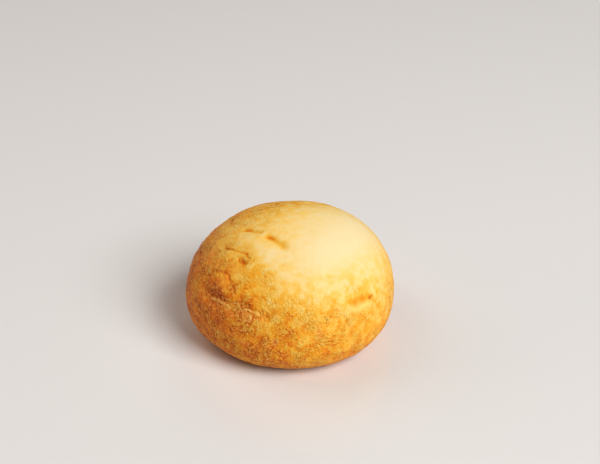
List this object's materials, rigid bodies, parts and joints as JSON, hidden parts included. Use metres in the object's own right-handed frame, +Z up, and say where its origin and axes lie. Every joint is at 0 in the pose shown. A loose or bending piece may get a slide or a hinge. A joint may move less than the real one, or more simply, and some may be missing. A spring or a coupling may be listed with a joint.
{
  "type": "cassava cheese bread",
  "caption": "Round baked cassava cheese bread: a smooth low dome over a fuller belly, creased at the shoulder, on a flat foot.",
  "frame": {"origin": "centre of the bread's bounding box seen from above, on the plane of its flat foot", "axes": "+Z up from the foot to the top, -Y towards the side that the picture shows, +X towards the paler side"},
  "size_m": [0.085, 0.085, 0.0491],
  "materials": {
    "crust": "baked crust, satin, pale cream on one side of the top, through golden yellow, to orange brown on the belly"
  },
  "bodies": {
    "root": {"bread": "crust"}
  },
  "joints": []
}
